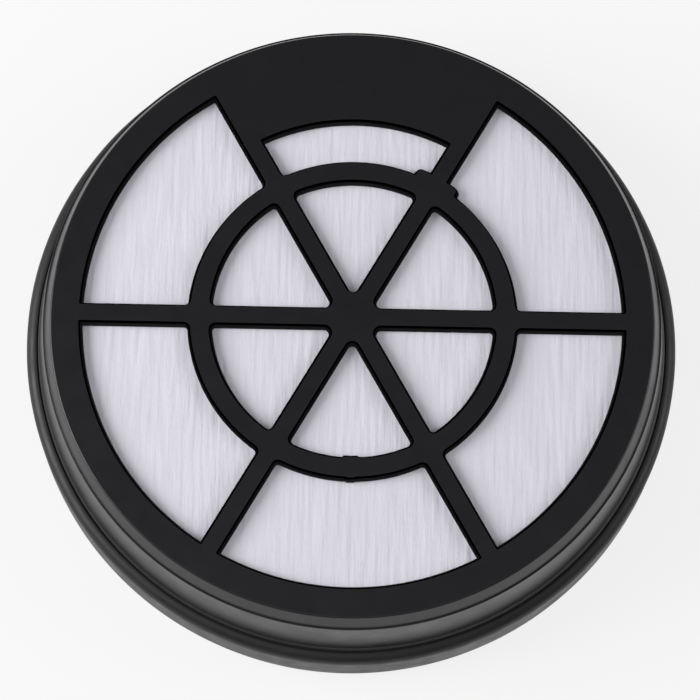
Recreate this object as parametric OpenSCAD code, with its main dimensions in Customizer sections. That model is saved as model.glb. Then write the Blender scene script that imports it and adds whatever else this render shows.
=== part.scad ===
// Round motor filter: a black moulded grille frame with a tapered side wall,
// a white fleece and a pleated pack behind the grille, and a rubber seal round the foot.
// Millimetres. The filter lies on its open back at z = 0 and the grille faces +Z.
// +Y points at the closed sector of the grille.

/* [Frame] */
// height of the whole filter, from the seal's foot to the grille face
total_h = 31; // [30:0.5:34]
// radius of the grille face at its outer edge
face_r = 62.5; // [62:0.1:63]
// radius of the side wall just below the face
shoulder_r = 64.45; // [64.2:0.05:64.8]
// radius of the flange at the foot of the side wall
flange_r = 66.92; // [66.86:0.02:67]
// drop from the grille face to the step in the side wall
shoulder_drop = 3.57; // [3.1:0.05:4.2]
// height of the flange above the floor
flange_z = 14.5; // [14:0.1:15.5]
// thickness of the grille face and its ribs
rib_t = 2; // [1.6:0.1:2.4]
// how much wider each rib edge is at its base than at its face
draft = 0.5; // [0.3:0.05:0.6]

/* [Grille] */
// radius of the grille opening at the face
window_r = 56.48; // [55:0.1:58]
// width of the six spokes at the face
spoke_w = 3.85; // [3.4:0.05:4.4]
// inner radius of the middle ring at the face
ring_in_r = 29.73; // [29:0.1:30.5]
// outer radius of the middle ring at the face
ring_out_r = 33.86; // [33:0.1:35]
// outer radius of the small curved window in the closed sector
arc_r = 43.17; // [41:0.1:45]
// fillet radius in the corners round the hub
hub_fillet = 1.5; // [1.1:0.1:2]
// fillet radius in the corners where spokes cross the ring
cross_fillet = 1.25; // [0.9:0.05:1.6]
// width of the pad at one spoke crossing
pad_w = 9.6; // [9:0.1:10.5]
// reach of the pad beyond the ring
pad_out = 1.6; // [1.2:0.1:2]
// corner radius of the pad
pad_fillet = 1; // [0.7:0.1:1.3]

/* [Filter pack] */
// thickness of the fleece behind the grille
fleece_t = 0.6; // [0.4:0.1:0.8]
// depth of the folds
pleat_depth = 22; // [19:0.5:22.5]
// number of whole folds across the pack
pleat_count = 29; // [25:2:31]
// thickness of the folded sheet
sheet_t = 0.4; // [0.3:0.05:0.45]
// outside width of each fold at its tip
tip_w = 1.2; // [1.1:0.05:1.4]
// outer radius of the folded pack
pack_r = 60; // [59.5:0.1:60.5]
// height of the glue ring round the pack
glue_h = 3.5; // [3:0.1:4.5]
// distance between the glue threads across the back
thread_gap = 30; // [26:1:32]

/* [Seal] */
// largest radius of the seal, at its foot
seal_r = 70; // [69.8:0.1:70.3]
// outer radius of the seal at its shoulder
seal_top_r = 69.58; // [69.56:0.02:69.7]
// radius of the rounded shoulder of the seal
seal_round = 2.35; // [2.1:0.05:2.35]
// height of the straight sealing band above the foot
seal_band = 4; // [3:0.1:5]
// thickness of the rubber under the frame
seal_floor = 1; // [0.8:0.1:1.4]

/* [Hidden] */
$fn = 96;
small_fn = 24;
face_z = total_h;
plate_z = face_z - rib_t;
shoulder_z = face_z - shoulder_drop;
edge_round = 0.5;
step_w = 0.35;
step_round = 0.2;
flare_h = 0.4;
flare_w = 0.36;
flange_h = 1.3;
flange_low_z = flange_z - flange_h;
seat_r = 66.3;
foot_in_r = 63.9;
cavity_r = 61.9;
groove_w = 0.28;
groove_h = 0.6;
seal_in_r = flange_r + groove_w;
seal_top_z = flange_low_z + groove_h;
seal_lip_r = 64.3;
seal_foot_round = 0.9;
fleece_r = 61.5;
fleece_z = plate_z - fleece_t;
pack_gap = 0.1;
pack_top = fleece_z - pack_gap;
pack_low = pack_top - pleat_depth;
glue_drop = 0.6;
glue_rise = 0.4;
thread_w = 1.4;
spoke_count = 6;
spoke_step = 360 / spoke_count;
pad_spoke = 1;
gate_w = 3.4;
gate_out = 0.35;
gate_foot_r = 1.6;
gate_foot_h = 0.8;
overlap = 0.4;
sink = 0.01;

// unit vector along v
function unit(v) = v / norm(v);

// half the angle at corner b between a and c
function half_angle(a, b, c) = acos(unit(a - b) * unit(c - b)) / 2;

// point on the edge from b to a where a rounding of radius r at b starts
function round_end(a, b, c, r) = b + unit(a - b) * r / tan(half_angle(a, b, c));

// centre of the rounding of radius r at b
function round_centre(a, b, c, r) = b + unit(unit(a - b) + unit(c - b)) * r / sin(half_angle(a, b, c));

// direction square to the line that leaves point p and touches the circle at c
function touch_angle(c, r, p) = atan2(c[1] - p[1], c[0] - p[0]) - acos(-r / norm(c - p));

// half profile of the rim and side wall, rounded at its two outer corners
module frame_profile() {
    face_in = [window_r, face_z];
    face_edge = [face_r, face_z];
    step_in = [shoulder_r - step_w, shoulder_z];
    step_edge = [shoulder_r, shoulder_z];
    flare_top = [flange_r - flare_w, flange_z + flare_h];
    polygon([
        face_in,
        round_end(face_in, face_edge, step_in, edge_round),
        round_end(step_in, face_edge, face_in, edge_round),
        step_in,
        round_end(step_in, step_edge, flare_top, step_round),
        round_end(flare_top, step_edge, step_in, step_round),
        flare_top,
        [flange_r, flange_z],
        [flange_r, flange_low_z],
        [seat_r, flange_low_z],
        [seat_r, seal_floor],
        [foot_in_r, seal_floor],
        [foot_in_r, flange_low_z],
        [cavity_r, plate_z],
        [window_r - draft, plate_z]
    ]);
    translate(round_centre(face_in, face_edge, step_in, edge_round))
        circle(r = edge_round, $fn = small_fn);
    translate(round_centre(step_in, step_edge, flare_top, step_round))
        circle(r = step_round, $fn = small_fn);
}

// straight rib of face width w along +X from x = start to x = end, with sloping sides
module rib(w, start, end) {
    half = w / 2;
    translate([start, 0, plate_z])
        rotate([90, 0, 90])
            linear_extrude(height = end - start)
                polygon([[-half - draft, 0], [half + draft, 0], [half, rib_t], [-half, rib_t]]);
}

// ring with sloping sides between two face radii
module ring_band(inner, outer) {
    rotate_extrude()
        polygon([
            [inner, face_z],
            [outer, face_z],
            [outer + draft, plate_z],
            [inner - draft, plate_z]
        ]);
}

// corner filler: a prism on the given points, hollowed by a cone that follows the sloping sides
module corner_fill(points, centre, f) {
    slope = draft / rib_t;
    difference() {
        translate([0, 0, plate_z])
            linear_extrude(height = rib_t)
                polygon(points);
        translate([centre[0], centre[1], plate_z - 1])
            cylinder(r1 = f - draft - slope, r2 = f + slope, h = rib_t + 2, $fn = small_fn);
    }
}

// filler between a spoke edge and the circle of radius r, on the side given: 1 outside, -1 inside
module ring_fillet(r, f, side) {
    half = spoke_w / 2;
    centre = [sqrt(pow(r + side * (f - sink), 2) - pow(half + f, 2)), half + f];
    root = [sqrt(r * r - half * half) - side * overlap, half - overlap];
    corner_fill([
        root,
        [centre[0], half - overlap],
        centre,
        unit(centre) * (r - side * overlap)
    ], centre, f);
}

// filler between two neighbouring spokes at the hub
module hub_fillet_fill(f) {
    reach = spoke_w + 2 * f;
    centre = [reach * cos(spoke_step / 2), reach * sin(spoke_step / 2)];
    first = [centre[0], spoke_w / 2 - overlap];
    second = [
        first[0] * cos(spoke_step) + first[1] * sin(spoke_step),
        first[0] * sin(spoke_step) - first[1] * cos(spoke_step)
    ];
    corner_fill([[0, 0], first, centre, second], centre, f);
}

// pad that widens the ring at one spoke crossing, with two rounded outer corners
module crossing_pad() {
    outer = ring_out_r + pad_out;
    inset = pad_w / 2 - pad_fillet;
    corner_x = sqrt(pow(outer - pad_fillet, 2) - inset * inset);
    start = ring_out_r - 2;
    intersection() {
        translate([0, 0, plate_z])
            cylinder(r1 = outer + draft, r2 = outer, h = rib_t);
        translate([start, -inset, plate_z])
            cube([pad_w, 2 * inset, rib_t]);
    }
    rib(pad_w, start, corner_x);
    for (side = [-1, 1])
        translate([corner_x, side * inset, plate_z])
            cylinder(r1 = pad_fillet + draft, r2 = pad_fillet, h = rib_t, $fn = small_fn);
}

// closed sector between two neighbouring spokes, outside the small curved window
module closed_sector() {
    reach = window_r * 1.4;
    intersection() {
        ring_band(arc_r, window_r + overlap);
        translate([0, 0, plate_z])
            linear_extrude(height = rib_t)
                polygon([
                    [0, 0],
                    reach * [cos(spoke_step), sin(spoke_step)],
                    reach * [cos(2 * spoke_step), sin(2 * spoke_step)]
                ]);
    }
}

// mark left by the moulding gate on the ring, opposite the closed sector
module gate_mark() {
    translate([-gate_w / 2, -ring_out_r + 1, plate_z])
        cube([gate_w, ring_out_r - 1 - ring_in_r + gate_out, rib_t]);
    translate([0, -(ring_out_r + draft + 0.2 - gate_foot_r), plate_z])
        cylinder(r = gate_foot_r, h = gate_foot_h, $fn = small_fn);
}

module grille_frame() {
    color([0.1, 0.1, 0.115])
        union() {
            rotate_extrude()
                frame_profile();
            ring_band(ring_in_r, ring_out_r);
            closed_sector();
            for (i = [0 : spoke_count - 1])
                rotate([0, 0, i * spoke_step]) {
                    rib(spoke_w, 0, window_r + overlap);
                    hub_fillet_fill(hub_fillet);
                    for (flip = [0, 1])
                        mirror([0, flip, 0]) {
                            ring_fillet(ring_in_r, cross_fillet, -1);
                            if (i != pad_spoke)
                                ring_fillet(ring_out_r, cross_fillet, 1);
                        }
                }
            rotate([0, 0, pad_spoke * spoke_step])
                crossing_pad();
            gate_mark();
        }
}

module front_fleece() {
    color([0.95, 0.95, 0.97])
        translate([0, 0, fleece_z])
            cylinder(r = fleece_r, h = fleece_t);
}

// end view of the folded sheet: upright folds with flat tips, one sheet thick
module pleat_section() {
    half_pitch = pack_r / pleat_count;
    wide = tip_w / 2;
    narrow = wide - sheet_t;
    upper = [
        for (i = [0 : 2 * pleat_count], side = [-1, 1])
            let (top = i % 2 == 1)
                [(i - pleat_count) * half_pitch + side * (top ? wide : narrow),
                 top ? pack_top : pack_low + sheet_t]
    ];
    lower = [
        for (i = [2 * pleat_count : -1 : 0], side = [1, -1])
            let (top = i % 2 == 1)
                [(i - pleat_count) * half_pitch + side * (top ? narrow : wide),
                 top ? pack_top - sheet_t : pack_low]
    ];
    polygon(concat(upper, lower));
}

module pleated_media() {
    color([0.93, 0.93, 0.95])
        intersection() {
            translate([0, 0, pack_low - 1])
                cylinder(r = pack_r, h = pleat_depth + 2);
            rotate([90, 0, 0])
                translate([0, 0, -pack_r - 1])
                    linear_extrude(height = 2 * pack_r + 2)
                        pleat_section();
        }
}

module potting_ring() {
    color([0.9, 0.89, 0.84])
        rotate_extrude()
            polygon([
                [pack_r, pack_low + glue_rise],
                [foot_in_r, pack_low - glue_drop],
                [foot_in_r, pack_low + glue_h],
                [pack_r, pack_low + glue_h]
            ]);
}

// half-round thread of glue laid across the fold tips on the back
module glue_thread(offset_y) {
    round_r = thread_w / 2;
    half = sqrt(pack_r * pack_r - pow(abs(offset_y) + round_r, 2));
    color([0.9, 0.89, 0.84])
        difference() {
            translate([-half, offset_y, pack_low])
                rotate([0, 90, 0])
                    cylinder(r = round_r, h = 2 * half, $fn = small_fn);
            translate([-half - 1, offset_y - thread_w, pack_low])
                cube([2 * half + 2, 2 * thread_w, thread_w]);
        }
}

// half profile of the seal: rounded shoulder, leaning side, straight band and rounded foot
module seal_profile() {
    shoulder = [seal_top_r - seal_round, seal_top_z - seal_round];
    foot = [seal_r - seal_foot_round, seal_foot_round];
    band_top = [seal_r, seal_band];
    lean = touch_angle(shoulder, seal_round, band_top);
    polygon([
        [seal_lip_r, 0],
        [foot[0], 0],
        [seal_r, foot[1]],
        band_top,
        shoulder + seal_round * [cos(lean), sin(lean)],
        shoulder,
        [shoulder[0], seal_top_z],
        [seal_in_r, seal_top_z],
        [seal_in_r, flange_low_z],
        [seat_r, flange_low_z],
        [seat_r, seal_floor],
        [seal_lip_r, seal_floor]
    ]);
    translate(foot)
        circle(r = seal_foot_round, $fn = small_fn);
    intersection() {
        translate(shoulder)
            circle(r = seal_round, $fn = small_fn);
        translate(shoulder)
            square(seal_round + 1);
    }
}

module seal_ring() {
    color([0.06, 0.06, 0.065])
        rotate_extrude()
            seal_profile();
}

grille_frame();
front_fleece();
pleated_media();
potting_ring();
glue_thread(-thread_gap);  // glue_thread_near
glue_thread(0);  // glue_thread_middle
glue_thread(thread_gap);  // glue_thread_far
seal_ring();
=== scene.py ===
"""Looks of the round motor filter: moulded grille frame, fleece, folded pack, glue and rubber seal."""

import math

import bpy
from mathutils import Matrix, Vector, geometry, noise


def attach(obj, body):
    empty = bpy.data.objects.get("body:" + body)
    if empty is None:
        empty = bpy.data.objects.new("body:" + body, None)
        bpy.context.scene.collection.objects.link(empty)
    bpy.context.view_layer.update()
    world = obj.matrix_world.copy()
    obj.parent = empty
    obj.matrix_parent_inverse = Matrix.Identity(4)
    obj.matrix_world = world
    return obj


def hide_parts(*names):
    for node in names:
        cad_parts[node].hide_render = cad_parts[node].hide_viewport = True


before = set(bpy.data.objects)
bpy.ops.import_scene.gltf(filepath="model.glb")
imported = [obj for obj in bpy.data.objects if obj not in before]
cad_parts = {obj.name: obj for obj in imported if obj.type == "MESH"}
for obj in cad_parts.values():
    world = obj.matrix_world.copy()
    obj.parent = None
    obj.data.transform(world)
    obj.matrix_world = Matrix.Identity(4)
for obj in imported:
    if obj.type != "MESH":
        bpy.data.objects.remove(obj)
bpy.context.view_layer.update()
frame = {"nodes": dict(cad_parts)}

MM = 0.001
ROOT = "root"

# Frame, in millimetres, in the part's own frame
FACE_Z = 31.0
PLATE_Z = 29.0
FACE_R = 62.5
SHOULDER_R = 64.45
SHOULDER_Z = 27.43
LEDGE_W = 0.35
FLANGE_R = 66.92
FLANGE_Z = 14.5
FLANGE_LOW_Z = 13.2
FLARE_W = 0.36
FLARE_H = 0.4
SEAT_R = 66.3
SEAL_FLOOR = 1.0
FOOT_IN_R = 63.9
CAVITY_R = 61.9
WINDOW_R = 56.48
RING_IN_R = 29.73
RING_OUT_R = 33.86
ARC_R = 43.17
SPOKE_HALF = 1.925
DRAFT = 0.5
HUB_FILLET = 1.5
CROSS_FILLET = 1.25
CORNER_FILLET = 0.14
PAD_HALF = 4.8
PAD_OUT = 1.6
PAD_FILLET = 1.0
EDGE_ROUND = 0.28
SPOKES = 6
STEP_DEG = 360 / SPOKES
ROUND_STEPS = 6

# Seal
SEAL_R = 70.0
SEAL_TOP_R = 69.58
SEAL_TOP_Z = 13.8
SEAL_LIP_R = 64.3
SEAL_IN_R = 67.2

# Filter pack
FLEECE_R = 61.5
FLEECE_TOP = 29.0


# Mesh building

class Patchwork:
    """Collects points, faces and one normal per face corner, then makes a mesh from them."""

    def __init__(self):
        self.points = []
        self.faces = []
        self.normals = []

    def row(self, points):
        """Adds a row of points and returns their numbers."""
        first = len(self.points)
        self.points.extend(points)
        return list(range(first, len(self.points)))

    def face(self, corners, normals):
        self.faces.append(tuple(corners))
        self.normals.extend(normals)

    def bridge(self, low, high, low_before, low_after, high_before, high_after):
        """Joins two closed rows with quads. The normals are those before and after each point."""
        count = len(low)
        for j in range(count):
            k = (j + 1) % count
            self.face(
                (low[j], high[j], high[k], low[k]),
                (low_after[j], high_after[j], high_before[k], low_before[k]),
            )

    def make(self, name):
        mesh = bpy.data.meshes.new(name)
        mesh.from_pydata([(x * MM, y * MM, z * MM) for x, y, z in self.points], [], self.faces)
        mesh.shade_smooth()
        mesh.normals_split_custom_set([Vector(n).normalized() for n in self.normals])
        mesh.update()
        piece = bpy.data.objects.new(name, mesh)
        bpy.context.scene.collection.objects.link(piece)
        return piece


def rounded(corners, closed=False, steps=ROUND_STEPS):
    """Rounds the corners (a, b, radius) of a path whose outside is on its left.

    Returns nodes (a, b, normal before, normal after)."""
    nodes = []
    count = len(corners)
    for i, (a, b, radius) in enumerate(corners):
        here = Vector((a, b))
        before = Vector(corners[i - 1][:2]) if closed or i > 0 else None
        after = Vector(corners[(i + 1) % count][:2]) if closed or i < count - 1 else None
        into = (here - before).normalized() if before is not None else None
        out = (after - here).normalized() if after is not None else None
        into = out if into is None else into
        out = into if out is None else out
        normal_in = Vector((-into.y, into.x))
        normal_out = Vector((-out.y, out.x))
        if radius == 0:
            nodes.append((a, b, normal_in, normal_out))
            continue
        turn = math.atan2(into.x * out.y - into.y * out.x, into.dot(out))
        reach = radius * math.tan(abs(turn) / 2)
        side = 1 if turn > 0 else -1
        centre = here - into * reach + normal_in * radius * side
        for k in range(steps + 1):
            angle = turn * k / steps
            normal = Matrix.Rotation(angle, 2) @ normal_in
            spot = centre - normal * radius * side
            nodes.append((spot.x, spot.y, normal, normal))
    return nodes


def lathe_rows(patch, nodes, segments, shift=None):
    """One ring of points for each profile node."""
    rows = []
    for r, z, _, _ in nodes:
        ring = []
        for j in range(segments):
            angle = 2 * math.pi * j / segments
            dr, dz = shift(angle, r, z) if shift else (0, 0)
            ring.append(((r + dr) * math.cos(angle), (r + dr) * math.sin(angle), z + dz))
        rows.append(patch.row(ring))
    return rows


def lathe(patch, nodes, segments, closed=True, shift=None, rows=None):
    """Turns a profile about Z. Profiles run clockwise, with the outside on the left."""
    rows = rows or lathe_rows(patch, nodes, segments, shift)

    def spread(normal):
        return [
            (normal.x * math.cos(a), normal.x * math.sin(a), normal.y)
            for a in (2 * math.pi * j / segments for j in range(segments))
        ]

    for i in range(len(nodes) if closed else len(nodes) - 1):
        k = (i + 1) % len(nodes)
        low = spread(nodes[i][3])
        high = spread(nodes[k][2])
        patch.bridge(rows[i], rows[k], low, low, high, high)
    return rows


# Outlines of the grille windows

def arc_points(centre, radius, start, end, steps):
    """Nodes on a circle from one angle to another, in radians. Normals point at the centre."""
    nodes = []
    for k in range(steps + 1):
        angle = start + (end - start) * k / steps
        toward = Vector((math.cos(angle), math.sin(angle)))
        spot = centre + toward * radius
        nodes.append((spot.x, spot.y, -toward, -toward))
    return nodes


def to_world(nodes, spoke_deg, side):
    """Turns nodes from a spoke's frame, where the window is on the +Y side, into the part's frame."""
    turn = Matrix.Rotation(math.radians(spoke_deg), 2)
    flip = Matrix(((1, 0), (0, side)))
    matrix = turn @ flip
    placed = []
    for x, y, before, after in nodes:
        spot = matrix @ Vector((x, y))
        placed.append((spot.x, spot.y, matrix @ before, matrix @ after))
    if side < 0:
        placed = [(x, y, after, before) for x, y, before, after in placed[::-1]]
    return placed


def corner_outer(half, radius, fillet):
    """Corner where a window's spoke edge runs out to the circle that bounds it, in the spoke's frame."""
    fillet = max(fillet, 0.03)
    height = half + fillet
    centre = Vector((math.sqrt((radius - fillet) ** 2 - height ** 2), height))
    end = math.atan2(centre.y, centre.x)
    return arc_points(centre, fillet, -math.pi / 2, end, ROUND_STEPS)


def corner_inner(half, radius, fillet):
    """Corner where a circle inside the window meets the spoke edge, in the spoke's frame."""
    height = half + fillet
    centre = Vector((math.sqrt((radius + fillet) ** 2 - height ** 2), height))
    start = math.pi + math.atan2(centre.y, centre.x)
    return arc_points(centre, fillet, start, 1.5 * math.pi, ROUND_STEPS)


def corner_pad(half, ring, reach, grow):
    """Outline of the pad from the ring to the spoke edge, in the spoke's frame."""
    outer = ring + PAD_OUT
    inset = PAD_HALF - PAD_FILLET
    base_outer = RING_OUT_R + PAD_OUT
    centre = Vector((math.sqrt((base_outer - PAD_FILLET) ** 2 - inset ** 2), inset))
    radius = PAD_FILLET + grow
    side_y = PAD_HALF + grow
    root = Vector((math.sqrt(ring ** 2 - side_y ** 2), side_y))
    round_end = math.atan2(centre.y, centre.x)
    nodes = [(root.x, root.y, root.normalized(), Vector((0, 1)))]
    for k in range(ROUND_STEPS + 1):
        angle = math.pi / 2 + (round_end - math.pi / 2) * k / ROUND_STEPS
        toward = Vector((math.cos(angle), math.sin(angle)))
        spot = centre + toward * radius
        nodes.append((spot.x, spot.y, toward, toward))
    for k in range(1, 5):
        angle = round_end + (math.asin(half / outer) - round_end) * k / 4
        toward = Vector((math.cos(angle), math.sin(angle)))
        after = Vector((0, 1)) if k == 4 else toward
        nodes.append((toward.x * outer, toward.y * outer, toward, after))
    return nodes


def corner_hub(half, fillet):
    """Rounding between two neighbouring spokes at the hub, in the part's frame of the first spoke."""
    height = half + fillet
    centre = Vector((height / math.tan(math.radians(STEP_DEG / 2)), height))
    start = math.radians(STEP_DEG + 90)
    return arc_points(centre, fillet, start, 1.5 * math.pi, 2 * ROUND_STEPS)


def gate_bump(angle, outer):
    """How far the gate mark opposite the closed sector stands out of the ring, in millimetres."""
    offset = (angle - 1.5 * math.pi) * (RING_OUT_R if outer else RING_IN_R)
    half, height = (1.0, 0.2) if outer else (1.7, 0.34)
    edge = min(1.0, max(0.0, (half - abs(offset)) / 0.25))
    nibs = 0.14 * noise.noise(Vector((offset * 2.3, 4.1 if outer else 9.7, 0)))
    return edge * (height + nibs)


def ring_arc(radius, start, end, inward, gate=False, outer=False):
    """Nodes between two angles on a circle about the centre, without its ends."""
    steps = 240 if gate else 60
    nodes = []
    for k in range(1, steps):
        angle = start + (end - start) * k / steps
        toward = Vector((math.cos(angle), math.sin(angle)))
        bump = gate_bump(angle % (2 * math.pi), outer) if gate else 0
        reach = radius - bump * inward
        slope = 0
        if gate:
            ahead = gate_bump((angle + 0.001) % (2 * math.pi), outer)
            slope = (ahead - bump) / (0.001 * radius)
        across = Vector((-toward.y, toward.x))
        normal = (-toward * inward - across * slope).normalized()
        nodes.append((toward.x * reach, toward.y * reach, normal, normal))
    return nodes


def angle_of(node, near):
    """Angle of a node about the centre, in radians, on the turn nearest to the angle given."""
    angle = math.atan2(node[1], node[0])
    while angle < near - math.pi:
        angle += 2 * math.pi
    while angle > near + math.pi:
        angle -= 2 * math.pi
    return angle


def window_outline(window, grow):
    """Closed outline of a grille window, moved into the opening by grow, with the opening on the left."""
    start, inner, outer = window["start"], window["inner"], window["outer"]
    half = SPOKE_HALF + grow
    end = start + STEP_DEG
    outer_r = outer - grow
    corner = CROSS_FILLET if inner is None else CORNER_FILLET
    middle = math.radians(start + STEP_DEG / 2)
    gate = window.get("gate", False)
    first = to_world(corner_outer(half, outer_r, corner - grow), start, 1)
    last = to_world(corner_outer(half, outer_r, corner - grow), end, -1)
    nodes = list(first)
    nodes += ring_arc(
        outer_r, angle_of(first[-1], middle), angle_of(last[0], middle), 1, gate and inner is None
    )
    nodes += last
    if inner is None:
        hub = corner_hub(half, HUB_FILLET - grow)
        nodes += to_world(hub, start, 1)
        return nodes
    ring = inner + grow
    shapes = {
        False: lambda: corner_inner(half, ring, CROSS_FILLET - grow),
        True: lambda: corner_pad(half, ring, outer_r, grow),
    }
    back = to_world(shapes[window.get("pad_end", False)](), end, -1)
    front = to_world(shapes[window.get("pad_start", False)](), start, 1)
    nodes += back
    nodes += ring_arc(ring, angle_of(back[-1], middle), angle_of(front[0], middle), -1, gate, True)
    nodes += front
    return nodes


def grille_windows():
    windows = []
    for i in range(SPOKES):
        start = i * STEP_DEG
        gate = i == 4
        windows.append({"start": start, "inner": None, "outer": RING_IN_R, "gate": gate})
        closed = i == 1
        windows.append({
            "start": start,
            "inner": RING_OUT_R,
            "outer": ARC_R if closed else WINDOW_R,
            "pad_end": i == 0,
            "pad_start": closed,
            "gate": gate,
        })
    return windows


def inside(x, y, loop):
    """True if a point lies inside a closed loop of (x, y)."""
    hit = False
    px, py = loop[-1]
    for qx, qy in loop:
        if (qy > y) != (py > y) and x < (px - qx) * (y - qy) / (py - qy) + qx:
            hit = not hit
        px, py = qx, qy
    return hit


def plate(patch, rim, holes, up):
    """Fills the flat face between a rim row and the rows of its holes."""
    numbers = list(rim)
    edges = [(k, (k + 1) % len(rim)) for k in range(len(rim))]
    for hole in holes:
        base = len(numbers)
        numbers += hole
        edges += [(base + k, base + (k + 1) % len(hole)) for k in range(len(hole))]
    flat = [Vector(patch.points[n][:2]) for n in numbers]
    result = geometry.delaunay_2d_cdt(flat, edges, [], 1, 1e-7)
    coords, faces, origin = result[0], result[2], result[3]
    loops = [[patch.points[n][:2] for n in hole] for hole in holes]
    boxes = [
        (min(p[0] for p in l), max(p[0] for p in l), min(p[1] for p in l), max(p[1] for p in l))
        for l in loops
    ]
    normal = (0, 0, 1 if up else -1)
    for tri in faces:
        x = sum(coords[v].x for v in tri) / 3
        y = sum(coords[v].y for v in tri) / 3
        if any(
            b[0] < x < b[1] and b[2] < y < b[3] and inside(x, y, l) for b, l in zip(boxes, loops)
        ):
            continue
        corners = [numbers[origin[v][0]] for v in tri]
        a, b, c = (Vector(patch.points[n][:2]) for n in corners)
        left = (b - a).cross(c - a) > 0
        if left != up:
            corners = corners[::-1]
        patch.face(corners, [normal] * 3)


# Pieces

def grille_frame():
    """The black moulding: grille face with rounded edges and drafted ribs, side wall and foot."""
    patch = Patchwork()
    segments = 360
    rim_profile = rounded([
        (FACE_R - 1.5, FACE_Z, 0),
        (FACE_R, FACE_Z, 0.45),
        (SHOULDER_R - LEDGE_W, SHOULDER_Z, 0.08),
        (SHOULDER_R, SHOULDER_Z, 0.16),
        (FLANGE_R - FLARE_W, FLANGE_Z + FLARE_H, 0.4),
        (FLANGE_R, FLANGE_Z, 0.15),
        (FLANGE_R, FLANGE_LOW_Z, 0),
        (SEAT_R, FLANGE_LOW_Z, 0),
        (SEAT_R, SEAL_FLOOR, 0),
        (FOOT_IN_R, SEAL_FLOOR, 0.3),
        (FOOT_IN_R, FLANGE_LOW_Z, 0),
        (CAVITY_R, PLATE_Z, 0),
    ])[1:]
    rows = lathe(patch, rim_profile, segments, closed=False)
    wall = rounded([(-2, FACE_Z, 0), (0, FACE_Z, EDGE_ROUND), (DRAFT, PLATE_Z, 0)])[1:]
    top_holes, low_holes = [], []
    for window in grille_windows():
        rings = []
        for grow, z, before, after in wall:
            outline = window_outline(window, grow)
            row = patch.row([(x, y, z) for x, y, _, _ in outline])

            def spread(side, tilt):
                return [(n[side].x * tilt.x, n[side].y * tilt.x, tilt.y) for n in outline]

            rings.append((row, spread(2, before), spread(3, before), spread(2, after), spread(3, after)))
        for low, high in zip(rings, rings[1:]):
            patch.bridge(low[0], high[0], low[3], low[4], high[1], high[2])
        top_holes.append(rings[0][0])
        low_holes.append(rings[-1][0])
    plate(patch, rows[0], top_holes, True)
    plate(patch, rows[-1], low_holes, False)
    return patch.make("grille_moulding")


def seal_ring():
    """The rubber seal: soft shoulder, leaning side and rounded foot, with slight waves."""
    patch = Patchwork()
    profile = rounded([
        (SEAL_LIP_R, 0, 0.3),
        (SEAL_LIP_R, SEAL_FLOOR, 0),
        (SEAT_R, SEAL_FLOOR, 0),
        (SEAT_R, FLANGE_LOW_Z, 0),
        (SEAL_IN_R, FLANGE_LOW_Z, 0),
        (SEAL_IN_R, SEAL_TOP_Z, 0.2),
        (SEAL_TOP_R, SEAL_TOP_Z, 2.2),
        (SEAL_R, 3.6, 6.0),
        (SEAL_R, 0, 0.9),
    ], closed=True, steps=10)

    def wave(angle, r, z):
        if r < SEAL_IN_R + 0.1:
            return 0, 0
        spot = Vector((math.cos(angle) * 4, math.sin(angle) * 4, z * 0.12))
        return 0.06 * noise.noise(spot) - 0.03, 0.05 * noise.noise(spot * 1.7) - 0.03

    lathe(patch, profile, 480, closed=True, shift=wave)
    return patch.make("rubber_seal")


def front_fleece():
    """A round of fleece, stretched against the back of the grille, with low fibre streaks."""
    patch = Patchwork()
    cell = 0.5
    count = int(2 * FLEECE_R / cell)
    index = {}

    def height(x, y):
        streak = noise.noise(Vector((x * 1.15, y * 0.09, 3.0)))
        soft = noise.noise(Vector((x * 0.16, y * 0.16, 7.0)))
        fibre = noise.noise(Vector((x * 2.3, y * 1.1, 11.0)))
        return 0.10 * streak + 0.12 * soft + 0.05 * fibre

    for i in range(count + 1):
        for j in range(count + 1):
            x = -FLEECE_R + i * cell
            y = -FLEECE_R + j * cell
            far = math.hypot(x, y)
            if far > FLEECE_R + cell * 0.4:
                continue
            pull = min(1.0, FLEECE_R / far) if far > 0 else 1.0
            edge = min(1.0, max(0.0, (FLEECE_R - far) / 4.0))
            top = FLEECE_TOP - 0.26 + height(x, y) * edge
            index[i, j] = len(patch.points)
            patch.points.append((x * pull, y * pull, min(top, FLEECE_TOP - 0.01)))
    faces = []
    for (i, j), a in index.items():
        around = [index.get(k) for k in ((i + 1, j), (i + 1, j + 1), (i, j + 1))]
        if all(v is not None for v in around):
            faces.append((a, *around))
    mesh = bpy.data.meshes.new("fleece")
    mesh.from_pydata([(x * MM, y * MM, z * MM) for x, y, z in patch.points], [], faces)
    mesh.shade_smooth()
    piece = bpy.data.objects.new("fleece", mesh)
    bpy.context.scene.collection.objects.link(piece)
    thick = piece.modifiers.new("thickness", "SOLIDIFY")
    thick.thickness = 0.3 * MM
    thick.offset = -1
    return piece


# Materials

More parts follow.
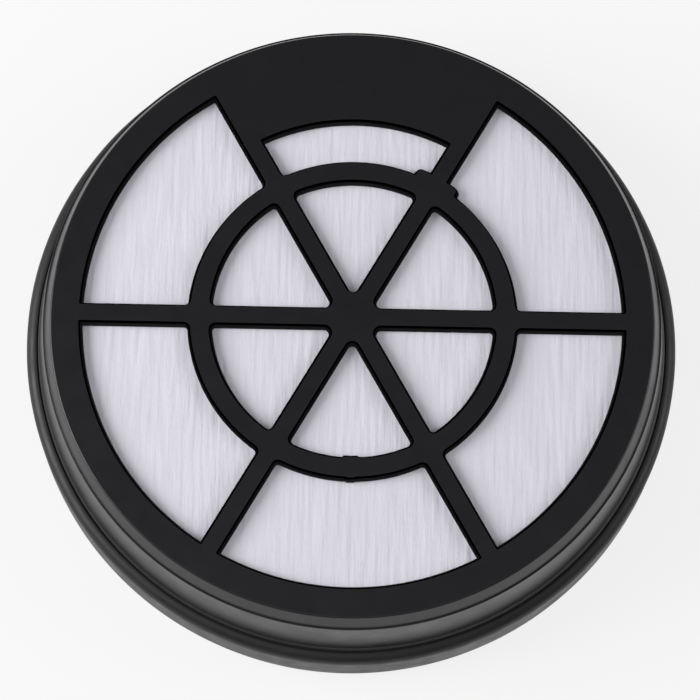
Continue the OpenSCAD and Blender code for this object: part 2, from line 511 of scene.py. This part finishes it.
class Nodes:
    """Short ways to add and join shader nodes in one material."""

    def __init__(self, name, base, roughness):
        self.material = bpy.data.materials.new(name)
        self.material.use_nodes = True
        self.tree = self.material.node_tree
        self.shader = self.tree.nodes["Principled BSDF"]
        self.shader.inputs["Base Color"].default_value = (*base, 1)
        self.shader.inputs["Roughness"].default_value = roughness
        self.coords = self.tree.nodes.new("ShaderNodeTexCoord").outputs["Object"]

    def join(self, source, target):
        self.tree.links.new(source, target)

    def scaled(self, scale, source=None):
        node = self.tree.nodes.new("ShaderNodeMapping")
        node.inputs["Scale"].default_value = scale
        self.join(source or self.coords, node.inputs["Vector"])
        return node.outputs["Vector"]

    def noise(self, scale, detail=2.0, source=None, rough=0.5):
        node = self.tree.nodes.new("ShaderNodeTexNoise")
        node.inputs["Scale"].default_value = scale
        node.inputs["Detail"].default_value = detail
        node.inputs["Roughness"].default_value = rough
        self.join(source or self.coords, node.inputs["Vector"])
        return node.outputs["Fac"]

    def spread(self, source, low, high, to_low, to_high):
        node = self.tree.nodes.new("ShaderNodeMapRange")
        for name, value in (
            ("From Min", low), ("From Max", high), ("To Min", to_low), ("To Max", to_high)
        ):
            node.inputs[name].default_value = value
        self.join(source, node.inputs["Value"])
        return node.outputs["Result"]

    def mix(self, factor, a, b):
        """Mixes two colours. Sockets 6, 7 and output 2 are the colour ones of the node."""
        node = self.tree.nodes.new("ShaderNodeMix")
        node.data_type = "RGBA"
        self.join(factor, node.inputs["Factor"])
        node.inputs[6].default_value = (*a, 1)
        node.inputs[7].default_value = (*b, 1)
        return node.outputs[2]

    def bump(self, height, strength, distance, normal=None):
        node = self.tree.nodes.new("ShaderNodeBump")
        node.inputs["Strength"].default_value = strength
        node.inputs["Distance"].default_value = distance
        self.join(height, node.inputs["Height"])
        if normal is not None:
            self.join(normal, node.inputs["Normal"])
        return node.outputs["Normal"]


def black_plastic():
    """Satin black moulded plastic with a fine grain and a slight sink in its flat faces."""
    n = Nodes("black_plastic", (0.0085, 0.0083, 0.0105), 0.3)
    cloud = n.noise(45, 3)
    n.join(n.mix(cloud, (0.0075, 0.0073, 0.0095), (0.0105, 0.0103, 0.0125)), n.shader.inputs["Base Color"])
    n.join(n.spread(n.noise(160, 4), 0.3, 0.7, 0.27, 0.35), n.shader.inputs["Roughness"])
    grain = n.bump(n.noise(5200, 2), 0.12, 0.00003)
    sink = n.bump(n.noise(32, 1), 0.35, 0.0004, grain)
    n.join(sink, n.shader.inputs["Normal"])
    return n.material


def black_rubber():
    """Matte black rubber, a little cloudy, with a fine skin."""
    n = Nodes("black_rubber", (0.010, 0.010, 0.011), 0.48)
    cloud = n.noise(60, 4)
    n.join(n.mix(cloud, (0.008, 0.008, 0.009), (0.014, 0.014, 0.0155)), n.shader.inputs["Base Color"])
    n.join(n.spread(n.noise(220, 4), 0.3, 0.7, 0.42, 0.54), n.shader.inputs["Roughness"])
    skin = n.bump(n.noise(2600, 3), 0.2, 0.00004)
    n.join(n.bump(n.noise(140, 2), 0.3, 0.0002, skin), n.shader.inputs["Normal"])
    return n.material


def white_fleece():
    """White fleece with long soft fibre streaks and a faint pressed grid."""
    n = Nodes("white_fleece", (0.88, 0.865, 0.95), 0.9)
    streak = n.noise(900, 3, n.scaled((1.0, 0.09, 1.0)))
    tone = n.spread(streak, 0.3, 0.7, 0.0, 1.0)
    n.join(n.mix(tone, (0.855, 0.84, 0.925), (0.895, 0.88, 0.955)), n.shader.inputs["Base Color"])
    fibre = n.bump(n.noise(2400, 4, n.scaled((1.0, 0.35, 1.0))), 0.35, 0.00012)
    n.join(n.bump(streak, 0.5, 0.00035, fibre), n.shader.inputs["Normal"])
    n.shader.inputs["Specular IOR Level"].default_value = 0.2
    return n.material


def folded_paper():
    """Off-white fibre sheet of the folded pack."""
    n = Nodes("folded_sheet", (0.84, 0.84, 0.85), 0.85)
    cloud = n.noise(300, 4)
    n.join(n.mix(cloud, (0.78, 0.78, 0.79), (0.86, 0.86, 0.87)), n.shader.inputs["Base Color"])
    n.join(n.bump(n.noise(2500, 4), 0.4, 0.0001), n.shader.inputs["Normal"])
    n.shader.inputs["Specular IOR Level"].default_value = 0.25
    return n.material


def hot_melt():
    """Milky hot-melt glue."""
    n = Nodes("hot_melt", (0.80, 0.78, 0.70), 0.4)
    cloud = n.noise(120, 3)
    n.join(n.mix(cloud, (0.74, 0.72, 0.63), (0.84, 0.82, 0.75)), n.shader.inputs["Base Color"])
    n.join(n.bump(n.noise(500, 3), 0.3, 0.0002), n.shader.inputs["Normal"])
    return n.material


def dress(piece, material):
    piece.data.materials.clear()
    piece.data.materials.append(material)


# Stage

def floor():
    mesh = bpy.data.meshes.new("floor")
    reach = 3.0
    mesh.from_pydata(
        [(-reach, -reach, 0), (reach, -reach, 0), (reach, reach, 0), (-reach, reach, 0)],
        [],
        [(0, 1, 2, 3)],
    )
    piece = bpy.data.objects.new("floor", mesh)
    bpy.context.scene.collection.objects.link(piece)
    material = bpy.data.materials.new("floor")
    material.use_nodes = True
    tree = material.node_tree
    shader = tree.nodes["Principled BSDF"]
    shader.inputs["Base Color"].default_value = (0.9, 0.9, 0.9, 1)
    shader.inputs["Roughness"].default_value = 1.0
    shader.inputs["Specular IOR Level"].default_value = 0.0
    glow = tree.nodes.new("ShaderNodeEmission")
    glow.inputs["Color"].default_value = (1, 1, 1, 1)
    glow.inputs["Strength"].default_value = 1.0
    path = tree.nodes.new("ShaderNodeLightPath")
    seen = tree.nodes.new("ShaderNodeMath")
    seen.operation = "MAXIMUM"
    tree.links.new(path.outputs["Is Camera Ray"], seen.inputs[0])
    tree.links.new(path.outputs["Is Glossy Ray"], seen.inputs[1])
    seen_too = tree.nodes.new("ShaderNodeMath")
    seen_too.operation = "MAXIMUM"
    tree.links.new(seen.outputs[0], seen_too.inputs[0])
    tree.links.new(path.outputs["Is Transmission Ray"], seen_too.inputs[1])
    share = tree.nodes.new("ShaderNodeMath")
    share.operation = "MULTIPLY"
    share.inputs[1].default_value = 0.8
    tree.links.new(seen_too.outputs[0], share.inputs[0])
    mix = tree.nodes.new("ShaderNodeMixShader")
    tree.links.new(share.outputs[0], mix.inputs["Fac"])
    tree.links.new(shader.outputs["BSDF"], mix.inputs[1])
    tree.links.new(glow.outputs["Emission"], mix.inputs[2])
    tree.links.new(mix.outputs["Shader"], tree.nodes["Material Output"].inputs["Surface"])
    mesh.materials.append(material)


def softbox(name, place, size, radiance, aim=(0, 0, 0.02)):
    lamp = bpy.data.lights.new(name, "AREA")
    lamp.shape = "RECTANGLE"
    lamp.size, lamp.size_y = size
    lamp.energy = radiance * math.pi * size[0] * size[1]
    piece = bpy.data.objects.new(name, lamp)
    piece.location = place
    away = Vector(place) - Vector(aim)
    piece.rotation_mode = "QUATERNION"
    piece.rotation_quaternion = away.to_track_quat("Z", "Y")
    bpy.context.scene.collection.objects.link(piece)


def lights():
    world = bpy.data.worlds.new("studio")
    bpy.context.scene.world = world
    world.use_nodes = True
    background = world.node_tree.nodes["Background"]
    background.inputs["Color"].default_value = (1, 1, 1, 1)
    background.inputs["Strength"].default_value = 0.18
    softbox("left_box", (-0.66, 0.0, 0.46), (0.5, 0.5), 6.5)
    softbox("right_box", (0.66, 0.05, 0.46), (0.4, 0.4), 3.0)
    softbox("top_box", (-0.15, -0.45, 1.2), (1.2, 0.9), 0.5)


def camera():
    """The photograph's view: about 75 degrees above the floor, from 480 mm."""
    data = bpy.data.cameras.new("camera")
    data.sensor_width = 36
    data.lens = 119.37
    data.clip_start = 0.01
    data.clip_end = 20
    piece = bpy.data.objects.new("camera", data)
    bpy.context.scene.collection.objects.link(piece)
    bpy.context.scene.camera = piece
    elevation, turn, roll = math.radians(74.49), math.radians(-1.84), math.radians(-2.85)
    yaw, pitch = 0.0005, 0.0143
    right = Vector((1, 0, 0))
    forward = Vector((0, math.cos(elevation), -math.sin(elevation)))
    up = right.cross(forward)
    basis = Matrix((right, up, forward))
    ca, sa, cb, sb = math.cos(yaw), math.sin(yaw), math.cos(pitch), math.sin(pitch)
    cr, sr = math.cos(roll), math.sin(roll)
    yaw_m = Matrix(((ca, 0, sa), (0, 1, 0), (-sa, 0, ca)))
    pitch_m = Matrix(((1, 0, 0), (0, cb, sb), (0, -sb, cb)))
    roll_m = Matrix(((cr, -sr, 0), (sr, cr, 0), (0, 0, 1)))
    rows = roll_m @ pitch_m @ yaw_m @ basis
    spin = Matrix.Rotation(turn, 3, "Z")
    x_axis = spin @ rows.row[0]
    y_axis = spin @ rows.row[1]
    z_axis = -(spin @ rows.row[2])
    distance = 0.4801
    place = Vector((0, 0, FACE_Z * MM)) + spin @ (-forward * distance)
    matrix = Matrix((x_axis, y_axis, z_axis)).transposed().to_4x4()
    matrix.translation = place
    piece.matrix_world = matrix


# Assembly

def build():
    bpy.context.scene.view_settings.view_transform = "Standard"
    camera()
    lights()
    floor()
    plastic = black_plastic()
    rubber = black_rubber()
    fleece_cloth = white_fleece()
    paper = folded_paper()
    glue = hot_melt()

    moulding = grille_frame()
    dress(moulding, plastic)
    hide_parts("grille_frame")
    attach(moulding, ROOT)

    seal = seal_ring()
    dress(seal, rubber)
    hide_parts("seal_ring")
    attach(seal, ROOT)

    fleece = front_fleece()
    dress(fleece, fleece_cloth)
    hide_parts("front_fleece")
    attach(fleece, ROOT)

    nodes = frame["nodes"]
    pack = nodes["pleated_media"]
    dress(pack, paper)
    for name in ("potting_ring", "glue_thread_near", "glue_thread_middle", "glue_thread_far"):
        dress(nodes[name], glue)


build()
